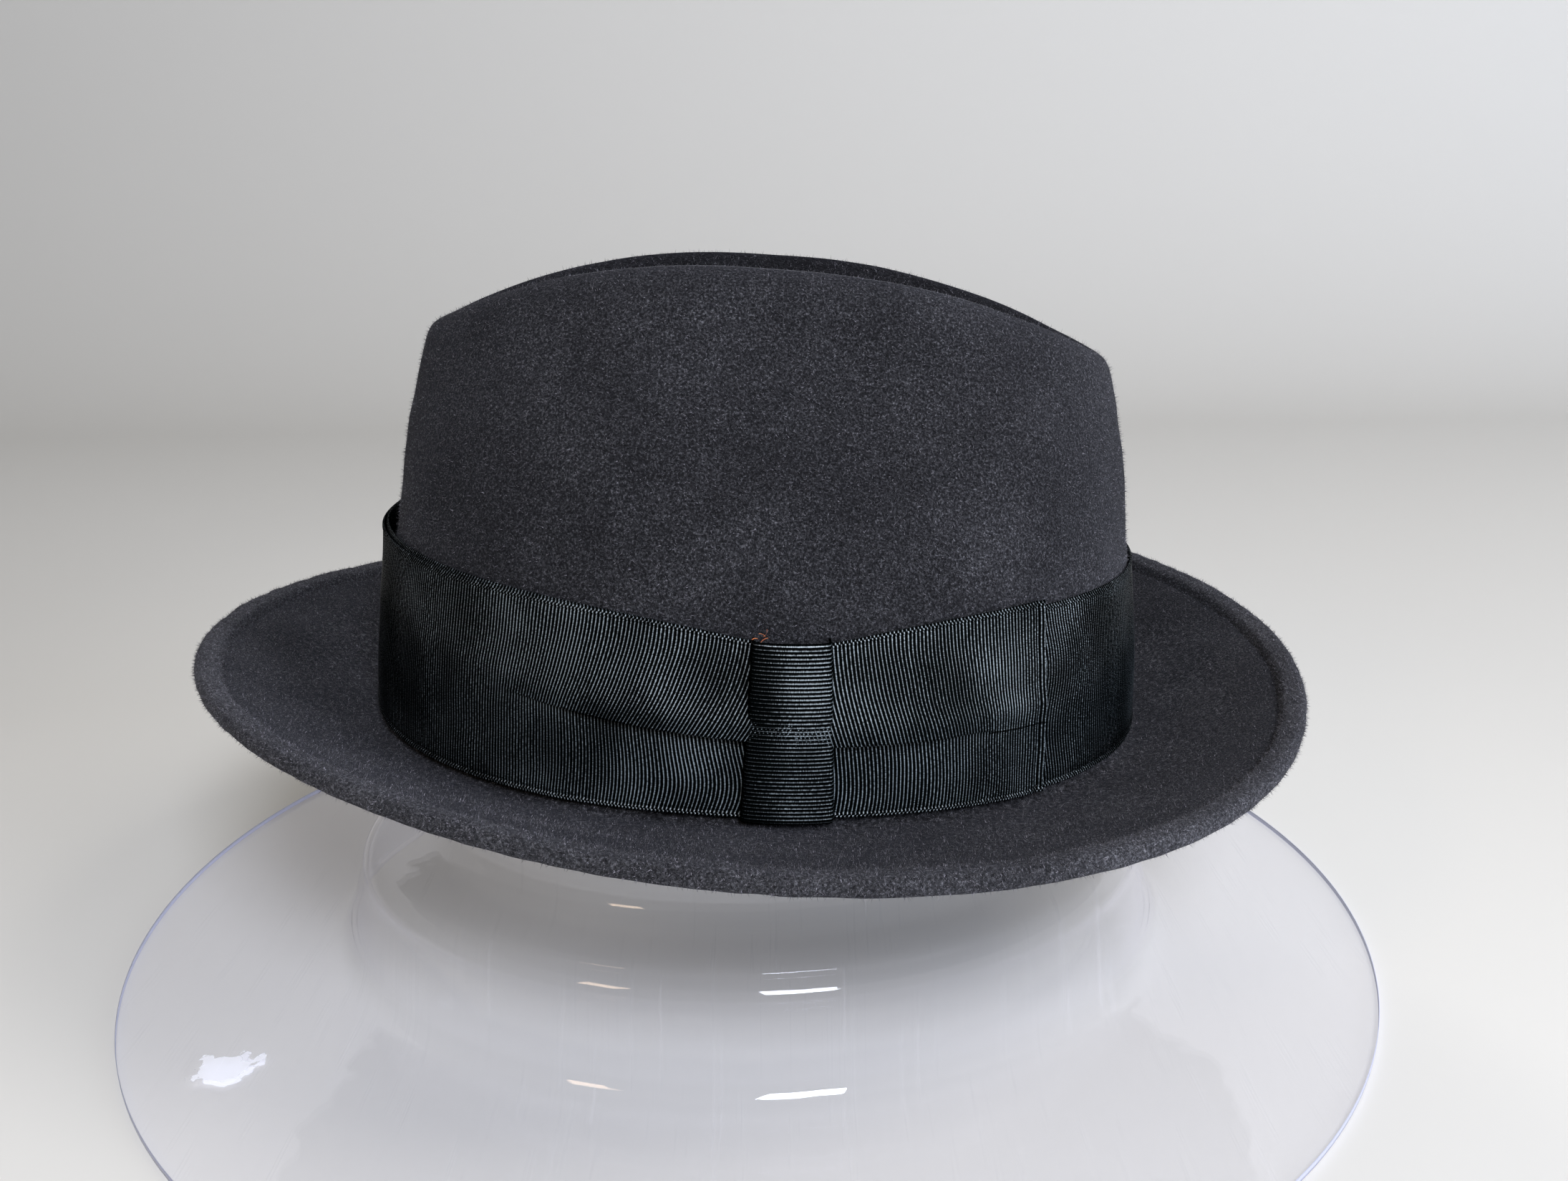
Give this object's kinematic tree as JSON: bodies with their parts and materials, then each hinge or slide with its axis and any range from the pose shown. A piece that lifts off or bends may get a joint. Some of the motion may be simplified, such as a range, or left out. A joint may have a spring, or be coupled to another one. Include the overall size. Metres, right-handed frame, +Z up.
{
  "type": "felt fedora on a clear display stand",
  "caption": "Black fur felt fedora with a creased crown, grosgrain band and flat bow, resting on a clear formed display stand with a round flange.",
  "frame": {"origin": "centre of the stand's foot, on the surface that it stands on", "axes": "+Z up, X along the crown from its front end (-X) to its back end (+X), the bow faces -Y"},
  "size_m": [0.36, 0.36, 0.1934],
  "materials": {
    "felt": "short-napped fur felt, matt",
    "ribbon": "cross-ribbed grosgrain, low sheen",
    "clear_sheet": "clear formed plastic sheet, glossy"
  },
  "bodies": {
    "root": {"felt_body": "felt", "hat_band": "ribbon", "bow_long_wing": "ribbon", "bow_short_wing": "ribbon", "bow_knot": "ribbon", "display_stand": "clear_sheet"}
  },
  "joints": []
}
